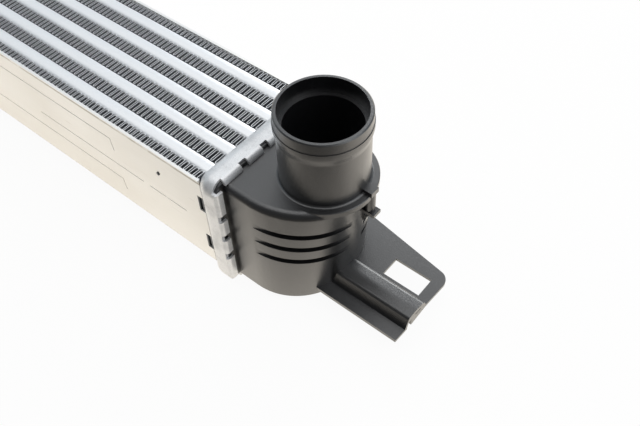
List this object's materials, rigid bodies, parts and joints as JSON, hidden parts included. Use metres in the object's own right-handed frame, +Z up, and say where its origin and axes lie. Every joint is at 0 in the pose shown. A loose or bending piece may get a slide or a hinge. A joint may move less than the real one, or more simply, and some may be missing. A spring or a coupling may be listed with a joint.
{
  "type": "intercooler",
  "caption": "Charge air cooler: a brazed flat-tube and fin core between crimped end tanks, each moulded in one with a round hose spigot and a slotted mounting bracket.",
  "frame": {"origin": "middle of the underside: centre of the length and width, on the plane the header plates stand on", "axes": "+X along the core to the right end tank, +Y across the stack of tubes to the rear side plate, +Z up along the spigots"},
  "size_m": [0.7894, 0.1048, 0.1453],
  "materials": {
    "core_aluminium": "bright rolled and brazed sheet",
    "header_aluminium": "satin pressed sheet",
    "seal_rubber": "matt moulded rubber",
    "tank_plastic": "satin glass-filled moulding"
  },
  "bodies": {
    "root": {"tube_1": "core_aluminium", "tube_2": "core_aluminium", "tube_3": "core_aluminium", "tube_4": "core_aluminium", "tube_5": "core_aluminium", "turbulator_1": "core_aluminium", "turbulator_2": "core_aluminium", "turbulator_3": "core_aluminium", "turbulator_4": "core_aluminium", "turbulator_5": "core_aluminium", "fin_1": "core_aluminium", "fin_2": "core_aluminium", "fin_3": "core_aluminium", "fin_4": "core_aluminium", "fin_5": "core_aluminium", "fin_6": "core_aluminium", "side_plate_front": "core_aluminium", "side_plate_rear": "core_aluminium", "header_plate_left": "header_aluminium", "header_plate_right": "header_aluminium", "tank_seal_left": "seal_rubber", "tank_seal_right": "seal_rubber", "end_tank_left": "tank_plastic", "end_tank_right": "tank_plastic"}
  },
  "joints": []
}
